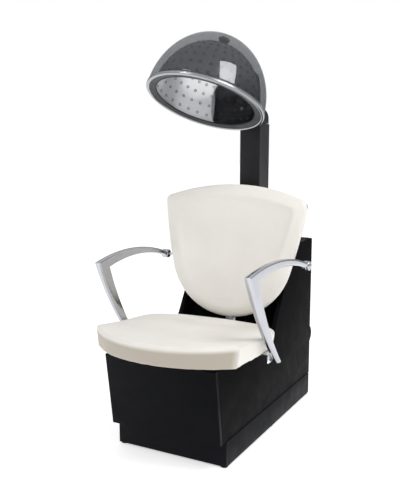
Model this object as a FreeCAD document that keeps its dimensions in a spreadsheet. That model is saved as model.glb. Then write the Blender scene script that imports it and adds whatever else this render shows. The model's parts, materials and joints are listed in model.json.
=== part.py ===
"""Salon dryer chair: a box base with a fixed upholstered armchair and a column that carries a hood hair dryer.

Millimetres. +Z is up, the chair faces -Y, and +X is on its left hand when one sits in it facing -Y.
The origin is on the floor, in the middle of the chair's width and of its overall depth.
"""
import FreeCAD, Part
import math
import os
import re
from FreeCAD import Placement, Rotation, Vector

doc = FreeCAD.newDocument("DryerChair")

# ---------------------------------------------------------------- driving dimensions
SIZES = [
    # box base
    ("rear_y", 518, "rear face of the cabinet, and half of the overall depth"),
    ("glide_height", 5, "glide pads under the plinth"),
    ("glide_radius", 14, ""),
    ("plinth_width", 458, ""),
    ("plinth_length", 850, ""),
    ("plinth_rear_gap", 8, "plinth stands in from the rear face"),
    ("plinth_height", 94, ""),
    ("board", 18, "laminated board"),
    ("cabinet_width", 454, ""),
    ("box_top", 378, "top of the low box under the seat"),
    ("cabinet_top", 722, "top of the tall rear part"),
    ("front_foot", -383, "y of the front panel's lower edge"),
    ("front_lean", 40, "how far the front panel's top stands forward"),
    ("panel_gap", 2, "shadow gap behind the front panel"),
    ("slant_foot", 86, "y where the side panels start to slant upwards"),
    ("slant_run", 212, "y travel of the slanted edge up to the top"),
    ("slant_recess", 90, "how far the slanted panel sits behind that edge"),
    # column
    ("column_y", 387, "centre of the column"),
    ("column_width", 93, ""),
    ("column_depth", 102, ""),
    ("column_wall", 3, ""),
    ("column_top", 1221, ""),
    # seat
    ("seat_half", 292, "half width of the seat cushion"),
    ("seat_corner", -387, "y of the seat's front corners"),
    ("seat_rear", 90, "y of the seat's rear edge"),
    ("seat_front_top", 470, "z of the seat's top at its front apex"),
    ("seat_rear_top", 433, "z of the seat's top at the rear"),
    ("seat_rest", 378.1, "z of the flat part of the seat's underside, on the deck"),
    ("seat_front_under", 404, "z of the underside at the front apex"),
    ("seat_board", 12, "plywood in the seat"),
    # back
    ("back_half", 319, "half width of the back at its shoulders"),
    ("back_bow", 22, "how far the back's middle lies behind its sides"),
    ("back_pad", 42, "thickness of the back cushion"),
    ("back_board", 18, "thickness of the back board"),
    # arms
    ("arm_thick", 26, ""),
    ("arm_x", 316, "centre of each arm leg"),
    ("knuckle_radius", 19, ""),
    # hood
    ("hood_x", -75.6, "centre of the hood's rim"),
    ("hood_y", 68.7, ""),
    ("hood_z", 1298.7, ""),
    ("hood_swivel", -13.4, "degrees that the hood is turned aside on the column"),
    ("hood_tilt", -24.8, "degrees that the hood's mouth is tipped up"),
    ("rim_radius", 243, "outer radius of the metal rim"),
    ("rim_width", 13, ""),
    ("rim_height", 14, ""),
    ("dome_radius", 240, ""),
    ("dome_height", 281, ""),
    ("liner_radius", 216, ""),
    ("liner_height", 244, ""),
    ("shell_wall", 3, "wall of the dome and the liner"),
    ("mouth_radius", 206.5, "inner radius of the lip under the hood"),
    ("blower_half", 46, "half width of the blower housing"),
    ("blower_low", 96, "height of the blower housing above the rim plane"),
    ("blower_high", 172, ""),
    ("blower_rear", 249, "rear face of the blower housing from the hood's axis"),
    ("housing_wall", 3, ""),
    ("hinge_out", 255, "tilt hinge from the hood's axis"),
    ("hinge_up", 77, "tilt hinge above the rim plane"),
    ("pin_radius", 6, "tilt pin"),
    ("pin_play", 0.05, "radial running clearance of pins, shafts and knobs"),
    ("spindle_radius", 12, "swivel spindle"),
    # mains lead
    ("cord_radius", 4, ""),
]
sheet = doc.addObject("Spreadsheet::Sheet", "Sizes")
for row, (alias, number, note) in enumerate(SIZES, 1):
    sheet.set("A%d" % row, note or alias.replace("_", " "))
    sheet.set("B%d" % row, str(number))
    sheet.setAlias("B%d" % row, alias)
doc.recompute()
ALIASES = {alias for alias, number, note in SIZES}
nodes = {}


def formula(text):
    """An expression in which each bare alias names its cell."""
    return re.sub(r"[a-z_]+", lambda m: "Sizes." + m.group(0) if m.group(0) in ALIASES else m.group(0), str(text))


def size(alias):
    return float(getattr(sheet, alias))


def bind(obj, **expressions):
    for prop, text in expressions.items():
        obj.setExpression(prop.replace("__", "."), formula(text))
    return obj


def keep(name, obj):
    """Register obj as the sub-part called name."""
    obj.Label = name
    nodes[name] = obj
    return obj


# ---------------------------------------------------------------- building blocks
def box(name, length, width, height, corner):
    obj = doc.addObject("Part::Box", name)
    bind(obj, Length=length, Width=width, Height=height)
    return bind(obj, Placement__Base__x=corner[0], Placement__Base__y=corner[1], Placement__Base__z=corner[2])


def cylinder(name, radius, height, foot, axis=(0, 0, 1)):
    obj = doc.addObject("Part::Cylinder", name)
    bind(obj, Radius=radius, Height=height)
    obj.Placement = Placement(Vector(*foot), Rotation(Vector(0, 0, 1), Vector(*axis)))
    return obj


def cut(name, base, *tools):
    return boolean("Part::Cut", name, base, tools)


def common(name, base, tool):
    return boolean("Part::Common", name, base, (tool,))


def boolean(kind, name, base, tools):
    for number, tool in enumerate(tools, 1):
        obj = doc.addObject(kind, name if number == len(tools) else "%s_step_%d" % (name, number))
        obj.Base = base
        obj.Tool = tool
        base = obj
    return base


def fuse(name, *pieces):
    obj = doc.addObject("Part::MultiFuse", name)
    obj.Shapes = list(pieces)
    return obj


def group(name, pieces):
    """Separate solids, such as a set of equal screws, in one sub-part."""
    obj = doc.addObject("Part::Compound", name)
    obj.Links = pieces
    return obj


def rounded(name, base, edge_test, radius):
    """Part::Fillet on the edges that edge_test picks."""
    doc.recompute()
    obj = doc.addObject("Part::Fillet", name)
    obj.Base = base
    picked = [i for i, edge in enumerate(base.Shape.Edges, 1) if edge_test(edge)]
    obj.Edges = [(i, radius, radius) for i in picked]
    return obj


def body(name, role, edges):
    """A PartDesign body with one sketch on the origin plane called role."""
    solid = doc.addObject("PartDesign::Body", name)
    sketch = solid.newObject("Sketcher::SketchObject", name + "_sketch")
    plane = [o for o in solid.Origin.OriginFeatures if o.Role == role][0]
    sketch.AttachmentSupport = (plane, [""])
    sketch.MapMode = "FlatFace"
    for edge in edges:
        sketch.addGeometry(edge, False)
    return solid, sketch


def extruded(name, role, edges, length, middle=False):
    solid, sketch = body(name, role, edges)
    pad = solid.newObject("PartDesign::Pad", name + "_pad")
    pad.Profile = sketch
    pad.Midplane = middle
    bind(pad, Length=length)
    return solid


def turned(name, edges):
    """A body of revolution about Z from a profile in the XZ plane."""
    solid, sketch = body(name, "XZ_Plane", edges)
    spin = solid.newObject("PartDesign::Revolution", name + "_turn")
    spin.Profile = sketch
    spin.ReferenceAxis = (sketch, ["V_Axis"])
    spin.Angle = 360
    return solid


def polygon(points):
    """Closed outline of straight edges."""
    ring = [Vector(x, y, 0) for x, y in points]
    return [Part.LineSegment(a, b) for a, b in zip(ring, ring[1:] + ring[:1])]


def outline(*steps):
    """Closed outline: each step is a point, and a point after the word 'by' is the middle of an arc to the next."""
    edges = []
    pen = start = Vector(*steps[0], 0)
    via = None
    for step in list(steps[1:]) + [steps[0]]:
        if step[0] == "by":
            via = Vector(*step[1], 0)
            continue
        spot = Vector(*step, 0)
        edges.append(Part.Arc(pen, via, spot) if via else Part.LineSegment(pen, spot))
        pen, via = spot, None
    return edges


def place(obj, where):
    obj.Placement = where
    return obj


# ---------------------------------------------------------------- box base
def build_plinth():
    front = "rear_y - plinth_rear_gap - plinth_length"
    sides = "plinth_length - 2 * board"
    runners = [box("plinth_side", "board", sides, "plinth_height", (x, front + " + board", "glide_height"))
               for x in ("plinth_width / 2 - board", "-plinth_width / 2")]
    keep("plinth_sides", group("plinth_sides", runners))
    for end, y in (("front", front), ("rear", "rear_y - plinth_rear_gap - board")):
        corner = ("-plinth_width / 2", y, "glide_height")
        keep("plinth_" + end, box("plinth_" + end, "plinth_width", "board", "plinth_height", corner))
    glides = []
    inset = size("plinth_width") / 2 - size("glide_radius") - 2
    front_y = size("rear_y") - size("plinth_rear_gap") - size("plinth_length")
    for x in (-inset, inset):
        for y in (front_y + 16, front_y + size("plinth_length") / 2, front_y + size("plinth_length") - 16):
            glides.append(cylinder("glide", "glide_radius", "glide_height", (x, y, 0)))
    keep("glides", group("glides", glides))


def slant_y(z):
    """y of the side panels' slanted edge at height z."""
    rise = (z - size("box_top")) / (size("cabinet_top") - size("box_top"))
    return size("slant_foot") + size("slant_run") * rise


def build_cabinet():
    floor = size("glide_height") + size("plinth_height")
    rear = size("rear_y")
    board = size("board")
    lean = size("front_lean")
    foot = size("front_foot")
    setback = board + size("panel_gap")
    side = [
        (foot + setback, floor), (foot + setback - lean, size("box_top")), (size("slant_foot"), size("box_top")),
        (slant_y(size("cabinet_top") - 12), size("cabinet_top") - 12), (slant_y(size("cabinet_top")) + 10,
        size("cabinet_top")), (rear - 6, size("cabinet_top")), (rear, size("cabinet_top") - 6), (rear, floor),
    ]
    for name, x in (("side_panel_left", "cabinet_width / 2 - board"), ("side_panel_right", "-cabinet_width / 2")):
        panel = keep(name, extruded(name, "YZ_Plane", polygon(side), "board"))
        bind(panel, Placement__Base__x=x)
    front = [(foot, floor), (foot - lean, size("box_top")), (foot - lean + board, size("box_top")), (foot + board, floor)]
    keep("front_panel", extruded("front_panel", "YZ_Plane", polygon(front), "cabinet_width", middle=True))
    inner = "cabinet_width - 2 * board"
    inner_x = "board - cabinet_width / 2"
    floor_z = "glide_height + plinth_height"
    keep("base_panel", box("base_panel", inner, "rear_y - board - front_foot - board - panel_gap", "board",
                           (inner_x, "front_foot + board + panel_gap", floor_z)))
    slope_foot = slant_y(size("box_top") - board) + size("slant_recess")
    slope_head = slant_y(size("cabinet_top") - board) + size("slant_recess")
    deck_front = foot - lean + setback + 0.5
    deck = [(deck_front + 3, size("box_top") - board), (deck_front, size("box_top")),
            (slope_foot, size("box_top")), (slope_foot, size("box_top") - board)]
    keep("seat_deck", extruded("seat_deck", "YZ_Plane", polygon(deck), inner, middle=True))
    thick = board * 1.17
    slope = [(slope_foot, size("box_top") - board), (slope_head, size("cabinet_top") - board),
             (slope_head + thick, size("cabinet_top") - board), (slope_foot + thick, size("box_top") - board)]
    slope_panel = extruded("slope_blank", "YZ_Plane", polygon(slope), inner, middle=True)
    slot = box("slope_slot", "column_width + 2", "column_depth + 60", "200",
               ("-column_width / 2 - 1", "column_y - column_depth / 2 - 1", "cabinet_top - 150"))
    # the slot lets the column pass where the panel would run through it
    keep("slope_panel", cut("slope_panel", slope_panel, slot))
    top = box("top_blank", inner, "rear_y - board - slant_foot - slant_run - 74", "board",
              (inner_x, "slant_foot + slant_run + 74", "cabinet_top - board"))
    hole = box("top_hole", "column_width + 1", "column_depth + 1", "60",
               ("-column_width / 2 - 0.5", "column_y - column_depth / 2 - 0.5", "cabinet_top - 40"))
    keep("top_panel", cut("top_panel", top, hole))
    collar = box("collar_blank", "cabinet_width", "100", "12", ("-cabinet_width / 2", "column_y - 62", "cabinet_top"))
    collar_hole = box("collar_hole", "column_width + 0.6", "column_depth + 100", "40",
                      ("-column_width / 2 - 0.3", "column_y - column_depth / 2 - 0.3", "cabinet_top - 10"))
    keep("column_collar", cut("column_collar", collar, collar_hole))


def build_rear_panel():
    blank = box("rear_blank", "cabinet_width - 2 * board", "board", "cabinet_top - glide_height - plinth_height",
                ("board - cabinet_width / 2", "rear_y - board", "glide_height + plinth_height"))
    gland_hole = cylinder("gland_hole", "9.5", "40", (GLAND[0], size("rear_y") - 30, GLAND[2]), (0, 1, 0))
    slots = []
    for row in range(VENT_ROWS):
        slots.append(box("vent_slot", "110", "60", "6", (-55, "rear_y - 40", 560 + 14 * row)))
    keep("rear_panel", cut("rear_panel", blank, gland_hole, group("vent_slots", slots)))
    screws = []
    for x in (-195, 195):
        for z in (140, 420, 690):
            screws.append(cylinder("panel_screw", "5", "2", (x, size("rear_y") - 2, z), (0, 1, 0)))
    keep("panel_screws", group("panel_screws", screws))


VENT_ROWS = 6
GLAND = (200, 518, 302)


# ---------------------------------------------------------------- column
def build_column():
    floor = "glide_height + plinth_height + board"
    outer = box("column_outer", "column_width", "column_depth", "column_top - glide_height - plinth_height - board - 4",
                ("-column_width / 2", "column_y - column_depth / 2", floor))
    inner = box("column_inner", "column_width - 2 * column_wall", "column_depth - 2 * column_wall", "1300",
                ("column_wall - column_width / 2", "column_y - column_depth / 2 + column_wall", floor + " - 5"))
    keep("column", cut("column", outer, inner))
    # angle brackets that bolt the column to the base panel, and their bolts
    floor_z = size("glide_height") + size("plinth_height") + size("board")
    side = size("column_width") / 2
    brackets, bolts = [], []
    for sign in (-1, 1):
        angle = polygon([(sign * side, floor_z), (sign * (side + 60), floor_z), (sign * (side + 60), floor_z + 5),
                         (sign * (side + 5), floor_z + 5), (sign * (side + 5), floor_z + 70), (sign * side, floor_z + 70)])
        bracket = extruded("angle_bracket", "XZ_Plane", angle, "60", middle=True)
        brackets.append(bind(bracket, Placement__Base__y="column_y"))
        for y in (size("column_y") - 16, size("column_y") + 16):
            bolts.append(cylinder("foot_bolt", "6.5", "6", (sign * (side + 38), y, floor_z + 5)))
    keep("column_brackets", group("column_brackets", brackets + bolts))
    # the cap plugs the tube and holds the swivel spindle
    lid = box("cap_lid", "column_width", "column_depth", "4",
              ("-column_width / 2", "column_y - column_depth / 2", "column_top - 4"))
    plug = box("cap_plug", "column_width - 2 * column_wall", "column_depth - 2 * column_wall", "26",
               ("column_wall - column_width / 2", "column_y - column_depth / 2 + column_wall", "column_top - 30"))
    bore = cylinder("cap_bore", "spindle_radius", "60", (0, size("column_y"), size("column_top") - 50))
    keep("column_cap", cut("column_cap", fuse("cap_blank", lid, plug), bore))
    keep("swivel_spindle", cylinder("swivel_spindle", "spindle_radius", "68", (0, size("column_y"), size("column_top") - 30)))
    washer = cylinder("washer_blank", "26", "2", (0, size("column_y"), size("column_top")))
    washer_bore = cylinder("washer_bore", "spindle_radius + 0.3", "10", (0, size("column_y"), size("column_top") - 4))
    keep("thrust_washer", cut("thrust_washer", washer, washer_bore))


# ---------------------------------------------------------------- neck that turns on the column
NECK_HALF = 43
NECK_FLOOR = 2.3
CHEEK_INNER = 22
CHEEK_RADIUS = 16


def neck_frame():
    """Frame on the column's axis at its top, turned with the hood; -Y points at the hood."""
    return Placement(Vector(0, size("column_y"), size("column_top")), Rotation(Vector(0, 0, 1), size("hood_swivel")))


def hood_frame():
    """Frame at the centre of the rim: X to the hood's left, Y to its rear, Z out through the crown."""
    turn = Rotation(Vector(0, 0, 1), size("hood_swivel"))
    tip = Rotation(Vector(1, 0, 0), size("hood_tilt"))
    return Placement(Vector(size("hood_x"), size("hood_y"), size("hood_z")), turn.multiply(tip))


def hinge_in_neck():
    """The tilt hinge as (y, z) in the neck's frame."""
    spot = neck_frame().inverse().multVec(hood_frame().multVec(Vector(0, size("hinge_out"), size("hinge_up"))))
    return spot.y, spot.z


def build_neck():
    hinge_y, hinge_z = hinge_in_neck()
    crown = 62
    rear = 42
    block = outline((rear, NECK_FLOOR), (rear, 20), ("by", (rear * 0.71, 20 + 42 * 0.71)), (0, crown),
                    (-30, crown), ("by", (-41, crown - 5)), (-45, crown - 16), (-45, NECK_FLOOR))
    solid = extruded("neck_block", "YZ_Plane", block, 2 * NECK_HALF, middle=True)
    cheeks = []
    for sign in (-1, 1):
        arm = extruded("cheek_arm", "YZ_Plane", polygon([(-40, hinge_z - CHEEK_RADIUS), (-40, hinge_z + CHEEK_RADIUS - 1),
                       (hinge_y, hinge_z + CHEEK_RADIUS - 1), (hinge_y, hinge_z - CHEEK_RADIUS)]),
                       NECK_HALF - CHEEK_INNER)
        eye = cylinder("cheek_eye", CHEEK_RADIUS, NECK_HALF - CHEEK_INNER, (0, hinge_y, hinge_z), (1, 0, 0))
        cheek = fuse("cheek", arm, eye)
        cheek.Placement = Placement(Vector(CHEEK_INNER if sign > 0 else -NECK_HALF, 0, 0), Rotation())
        cheeks.append(cheek)
    pin_hole = cylinder("pin_hole", "pin_radius", 4 * NECK_HALF, (-2 * NECK_HALF, hinge_y, hinge_z), (1, 0, 0))
    bush_hole = cylinder("bush_hole", "spindle_radius + 4", "40", (0, 0, NECK_FLOOR - 1))
    neck = cut("neck_housing", fuse("neck_blank", solid, *cheeks), pin_hole, bush_hole)
    keep("neck_housing", place(neck, neck_frame()))
    bush = cut("swivel_bush", cylinder("bush_blank", "spindle_radius + 4", "38.5", (0, 0, NECK_FLOOR)),
               cylinder("bush_bore", "spindle_radius + pin_play", "60", (0, 0, -5)))
    keep("swivel_bush", place(bush, neck_frame()))
    pin = cylinder("pin_shaft", "pin_radius", 2 * NECK_HALF, (-NECK_HALF, hinge_y, hinge_z), (1, 0, 0))
    heads = [cylinder("pin_head", "9.5", "4", (sign * NECK_HALF, hinge_y, hinge_z), (sign, 0, 0)) for sign in (-1, 1)]
    keep("tilt_pin", place(fuse("tilt_pin", pin, *heads), neck_frame()))
    washers = []
    for x in (-CHEEK_INNER, CHEEK_INNER - 1.7):
        disc = cylinder("disc", "14", "1.7", (x, hinge_y, hinge_z), (1, 0, 0))
        hole = cylinder("disc_hole", "pin_radius", "10", (x - 4, hinge_y, hinge_z), (1, 0, 0))
        washers.append(cut("friction_washer", disc, hole))
    keep("friction_washers", place(group("friction_washers", washers), neck_frame()))


# ---------------------------------------------------------------- hood
def ellipse_solid(name, radius, height):
    """A full ellipsoid of revolution about Z at the hood's centre."""
    obj = doc.addObject("Part::Ellipsoid", name)
    return bind(obj, Radius1=height, Radius2=radius, Radius3=radius)


def half_shell(name, radius, height, foot):
    """A dome of the shell wall's thickness that stands on the plane z = foot."""
    r, top, wall = size(radius), size(height), size("shell_wall")

    def at(a, b, z):
        return a * math.sqrt(1 - (z / b) ** 2), z

    outer_foot, outer_mid = at(r, top, foot), at(r, top, top * 0.72)
    inner_foot, inner_mid = at(r - wall, top - wall, foot), at(r - wall, top - wall, top * 0.7)
    edges = [ellipse_arc(r, top, outer_foot, (0, top)), ellipse_arc(r - wall, top - wall, inner_foot, (0, top - wall)),
             Part.LineSegment(Vector(*inner_foot, 0), Vector(*outer_foot, 0)),
             Part.LineSegment(Vector(0, top, 0), Vector(0, top - wall, 0))]
    return turned(name, edges)


def ellipse_arc(radius, height, foot, head):
    """The arc of an upright ellipse from foot to head, in the sketch's XY plane."""
    if height > radius:
        whole = Part.Ellipse(Vector(0, height, 0), Vector(radius, 0, 0), Vector(0, 0, 0))
    else:
        whole = Part.Ellipse(Vector(radius, 0, 0), Vector(0, height, 0), Vector(0, 0, 0))
    first = whole.parameter(Vector(*head, 0))
    last = whole.parameter(Vector(*foot, 0))
    if last < first:
        return Part.ArcOfEllipse(whole, last, first)
    if last - first > math.pi:
        return Part.ArcOfEllipse(whole, last, first + 2 * math.pi)
    return Part.ArcOfEllipse(whole, first, last)


def build_hood_shells():
    where = hood_frame()
    rim_out, rim_in, half = size("rim_radius"), size("rim_radius") - size("rim_width"), size("rim_height") / 2
    rim = outline((rim_in, -half + 3), ("by", (rim_in + 1, -half + 1)), (rim_in + 3, -half), (rim_out - 5, -half),
                  ("by", (rim_out - 1.5, -half + 1.5)), (rim_out, -half + 5), (rim_out, half - 5),
                  ("by", (rim_out - 1.5, half - 1.5)), (rim_out - 5, half), (rim_in, half))
    keep("hood_rim", place(turned("hood_rim", rim), where))
    half = size("rim_height") / 2
    dome = half_shell("dome_shell", "dome_radius", "dome_height", half)
    crown_hole = cylinder("crown_hole", "20", "60", (0, 0, size("dome_height") - 40))
    duct_hole = box("duct_hole", "2 * blower_half - 8", "150", "blower_high - blower_low - 8",
                    ("4 - blower_half", 120, "blower_low + 4"))
    keep("hood_dome", place(cut("hood_dome", dome, crown_hole, duct_hole), where))
    lip = [(size("mouth_radius"), 0), (rim_in, -4), (rim_in, -1), (rim_in - 2, 0.0), (size("mouth_radius"), 3)]
    keep("hood_lip", place(turned("hood_lip", polygon(lip)), where))
    bead = doc.addObject("Part::Torus", "lip_trim")
    bind(bead, Radius1="mouth_radius - 2.3", Radius2=2.5)
    keep("lip_trim", place(bead, where.multiply(Placement(Vector(0, 0, 1.5), Rotation()))))
    keep("hood_liner", place(half_shell("hood_liner", "liner_radius", "liner_height", 1.6), where))
    seat = size("dome_height") - 1.6
    cap = outline((0, seat - 6), (20, seat - 6), (20, seat), (23.5, seat), ("by", (17, seat + 5)),
                  (8, seat + 6.5), (0, seat + 6.5))
    keep("vent_cap", place(turned("vent_cap", cap), where))


def build_air_path():
    """The plenum between liner and dome, and the blower housing behind the dome."""
    where = hood_frame()
    plenum_outer = box("plenum_box", 224, 240, 176, (-112, 20, 10))
    plenum_inner = box("plenum_room", 216, 260, 168, (-108, 10, 14))
    outer_skin = ellipse_solid("plenum_skin", "dome_radius - shell_wall", "dome_height - shell_wall")
    inner_skin = ellipse_solid("plenum_core", "dome_radius - 2 * shell_wall", "dome_height - 2 * shell_wall")
    liner_skin = ellipse_solid("plenum_liner", "liner_radius", "liner_height")
    shell = cut("plenum_shell", common("plenum_blank", plenum_outer, outer_skin),
                common("plenum_hollow", plenum_inner, inner_skin), liner_skin)
    duct = box("plenum_duct", "2 * blower_half - 8", "150", "blower_high - blower_low - 8",
               ("4 - blower_half", 120, "blower_low + 4"))
    keep("air_plenum", place(cut("air_plenum", shell, duct), where))
    block = box("blower_block", "2 * blower_half", "blower_rear - 100", "blower_high - blower_low",
                ("-blower_half", 100, "blower_low"))
    block = rounded("blower_round", block, lambda e: e.Vertexes[0].Point.y > 200 and e.Vertexes[-1].Point.y > 200, 6)
    dome_skin = ellipse_solid("dome_skin", "dome_radius", "dome_height")
    room = box("blower_room", "2 * blower_half - 2 * housing_wall", "blower_rear - 103",
               "blower_high - blower_low - 2 * housing_wall",
               ("housing_wall - blower_half", 100, "blower_low + housing_wall"))
    bores = []
    for x, z, radius in (TIMER + (3.05,), HEAT + (3.05,)):
        bores.append(cylinder("shaft_bore", radius, 30, (x, size("blower_rear") - 20, z), (0, 1, 0)))
    window = box("rocker_window", 21, 30, 15, (ROCKER[0] - 10.5, "blower_rear - 20", ROCKER[1] - 7.5))
    keep("blower_housing", place(cut("blower_housing", block, dome_skin, room, *bores, window), where))


TIMER = (-21, 148)
HEAT = (23, 150)
ROCKER = (0, 113)
FAN_AXIS = 134


def build_blower():
    """Flat motor, its shaft and the fan, on an axis along the hood's Y."""
    where = hood_frame()
    back = Rotation(Vector(0, 0, 1), Vector(0, 1, 0))
    case = cut("blower_motor", cylinder("motor_case", 14, 16, (0, size("blower_rear") - size("housing_wall") - 16, FAN_AXIS),
                                          (0, 1, 0)),
               cylinder("motor_bore", "2.5 + pin_play", 40, (0, 212, FAN_AXIS), (0, 1, 0)))
    keep("blower_motor", place(case, where))
    keep("motor_shaft", place(cylinder("motor_shaft", 2.5, 36, (0, 0, 0), (0, 0, 1)),
                              where.multiply(Placement(Vector(0, 207, FAN_AXIS), back))))
    hub = cut("fan_hub", fuse("fan_disc", cylinder("fan_plate", 30, 2, (0, 0, 14)), cylinder("fan_boss", 7, 14, (0, 0, 2))),
              cylinder("fan_bore", 2.5, 40, (0, 0, -5)))
    blades = []
    for k in range(FAN_BLADES):
        blade = box("fan_blade", 11, 1.4, 13, (19, -0.7, 2))
        angle = 360.0 / FAN_BLADES * k
        turn = Rotation(Vector(0, 0, 1), angle)
        lean = Rotation(Vector(0, 0, 1), angle + 25)
        blade.setExpression("Placement.Base.x", None)
        blade.setExpression("Placement.Base.y", None)
        blade.setExpression("Placement.Base.z", None)
        blade.Placement = Placement(turn.multVec(Vector(18, 0, 1.5)), lean)
        blades.append(blade)
    keep("fan_wheel", place(fuse("fan_wheel", hub, *blades), where.multiply(Placement(Vector(0, 207, FAN_AXIS), back))))


FAN_BLADES = 14


def build_heater():
    where = hood_frame()
    coils = []
    for radius, z in ((222, 36), (219.5, 52), (216.5, 68)):
        coil = doc.addObject("Part::Torus", "coil")
        bind(coil, Radius1=radius, Radius2=3)
        coil.Angle3 = 50
        coils.append(place(coil, Placement(Vector(0, 0, z), Rotation(Vector(0, 0, 1), 65))))
    posts = []
    for angle in (65, 115):
        post = box("mica_post", 13, 5, 41, (0, 0, 0))
        for axis in "xyz":
            post.setExpression("Placement.Base." + axis, None)
        turn = Rotation(Vector(0, 0, 1), angle)
        shift = -5.2 if angle < 90 else 0.2
        post.Placement = Placement(turn.multVec(Vector(215, shift, 27)), turn)
        posts.append(post)
    keep("heating_coils", place(group("heating_coils", coils + posts), where))
    keep("thermostat", place(cylinder("thermostat", 7, 5, (0, 0, 0), (0, 1, 0)),
                             where.multiply(Placement(Vector(0, 218.3, 84), Rotation(Vector(0, 0, 1), Vector(0, 1, 0))))))


def build_controls():
    """Timer knob, heat knob and rocker switch on the blower housing's rear face."""
    where = hood_frame()
    back = Rotation(Vector(0, 0, 1), Vector(0, 1, 0))
    for name, (x, z), radius, grip in (("timer_knob", TIMER, 15, 13), ("heat_knob", HEAT, 11, 11)):
        skirt = cylinder(name + "_skirt", radius, 4, (0, 0, 0.6))
        drum = cylinder(name + "_drum", radius * 0.78, grip, (0, 0, 0.6))
        stem = cylinder(name + "_stem", 3, 10, (0, 0, -8))
        pointer = box(name + "_pointer", 3, radius * 0.7, 2, (-1.5, 1, grip + 0.2))
        knob = fuse(name, skirt, drum, stem, pointer)
        spot = Placement(Vector(x, size("blower_rear"), z), back)
        keep(name, place(knob, where.multiply(spot)))
    face = extruded("rocker_face", "YZ_Plane", outline((-3, -6), (1.2, -6), ("by", (3.4, 0)), (3.4 + 1.8, 6), (-3, 6)),
                    20, middle=True)
    rocker = fuse("power_switch", face, cylinder("rocker_pivot", 2, 20.8, (-10.4, 0, 0), (1, 0, 0)))
    spot = Placement(Vector(ROCKER[0], size("blower_rear"), ROCKER[1]), Rotation())
    keep("power_switch", place(rocker, where.multiply(spot)))


def build_hinge_block():
    where = hood_frame()
    out, up = size("hinge_out"), size("hinge_up")
    web = box("hinge_web", 40, out - 200, 30, (-20, 200, up - 15))
    barrel = cylinder("hinge_barrel", 15, 40, (-20, out, up), (1, 0, 0))
    flange = box("hinge_flange", 62, 40, 30, (-31, 200, up - 15))
    skin = ellipse_solid("flange_skin", "dome_radius + 5", "dome_height + 5")
    dome_skin = ellipse_solid("hinge_skin", "dome_radius", "dome_height")
    bore = cylinder("hinge_bore", "pin_radius + pin_play", 80, (-40, out, up), (1, 0, 0))
    solid = fuse("hinge_blank", web, barrel, common("hinge_plate", flange, skin))
    keep("hinge_block", place(cut("hinge_block", solid, dome_skin, bore), where))


# ---------------------------------------------------------------- chair
def seat_outline(inset):
    """Plan of the seat: a bowed front edge, straight sides, and a rear that rounds inwards."""
    half, corner, rear = size("seat_half") - inset, size("seat_corner"), size("seat_rear") - inset
    apex = -size("rear_y") + inset
    front = 12
    edge = corner + inset * 0.6
    left = [(half, -86), ("by", (half - 14, -32)), (231 - 0.8 * inset, 17 - 0.6 * inset),
            ("by", (168 - 0.45 * inset, 62 - 0.87 * inset)), (90 - 0.2 * inset, 84 - 0.98 * inset)]
    right = []
    for step in reversed(left):
        right.append(("by", (-step[1][0], step[1][1])) if step[0] == "by" else (-step[0], step[1]))
    return outline((half, edge + front), *left, ("by", (0, rear)), *right, (-half, edge + front),
                   ("by", (-half + 3, edge)), (-half + 12, edge - 10), ("by", (0, apex)), (half - 12, edge - 10),
                   ("by", (half - 3, edge)))


def seat_band(name, low, high):
    """The space between two offsets from the seat's raked underside, as wide as the seat."""
    front, knee, rear = -size("rear_y") - 20, -200, 120
    rest, lip = size("seat_rest"), size("seat_front_under")
    return extruded(name, "YZ_Plane", polygon([(front, lip + low), (knee, rest + low), (rear, rest + low),
                                               (rear, rest + high), (knee, rest + high), (front, lip + high)]),
                    700, middle=True)


def build_seat():
    front, knee, rear = -size("rear_y") - 20, -200, 120
    side = outline((front, size("seat_front_under")), (knee, size("seat_rest")), (rear, size("seat_rest")),
                   (rear, size("seat_rear_top")), (20, size("seat_rear_top")),
                   ("by", (-150, size("seat_rear_top") + 11)), (size("seat_corner"), size("seat_front_top") - 5),
                   (front, size("seat_front_top")))
    tall = bind(extruded("seat_plan", "XY_Plane", seat_outline(0), 200), Placement__Base__z="box_top - 50")
    pad = common("seat_pad", tall, extruded("seat_side", "YZ_Plane", side, 700, middle=True))
    inner = bind(extruded("recess_plan", "XY_Plane", seat_outline(16), 200), Placement__Base__z="box_top - 50")
    recess = common("seat_recess", inner, seat_band("recess_band", -8, size("seat_board") + 0.5))
    keep("seat_cushion", cut("seat_cushion", pad, recess))
    inner = bind(extruded("board_plan", "XY_Plane", seat_outline(16.5), 200), Placement__Base__z="box_top - 50")
    keep("seat_board_panel", common("seat_board_panel", inner, seat_band("board_band", 0, size("seat_board"))))
    # the riser fills the wedge between the deck and the raked front of the seat
    slope = (size("seat_front_under") - size("seat_rest")) / (knee - front)
    wedge = polygon([(-330, size("box_top")), (-290, size("box_top")), (-290, size("seat_rest") + slope * 90),
                     (-330, size("seat_rest") + slope * 130)])
    keep("seat_riser", extruded("seat_riser", "YZ_Plane", wedge, 340, middle=True))


def back_outline(inset):
    """The shield shape of the back, in the plane of its lean; v runs up from the lowest point."""
    half, belly = size("back_half") - inset, 272 - inset
    low, centre = inset, 272
    side_x, side_v = 262 - inset * 0.97, centre - 73
    foot_v = centre - belly * math.cos(math.radians(40))
    foot_x = belly * math.sin(math.radians(40))
    shoulder = 474
    crown = 558 - inset
    return outline((side_x, side_v), ("by", (294 - inset, 330)), (half, shoulder), ("by", (half - 2, shoulder + 18 - inset)),
                   (half - 17, shoulder + 30 - inset), ("by", (0, crown)), (17 - half, shoulder + 30 - inset),
                   ("by", (2 - half, shoulder + 18 - inset)), (-half, shoulder), ("by", (inset - 294, 330)),
                   (-side_x, side_v), ("by", (-foot_x, foot_v)), (0, low), ("by", (foot_x, foot_v)))


BACK_LEAN = 9.5
BACK_FOOT = 420


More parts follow.
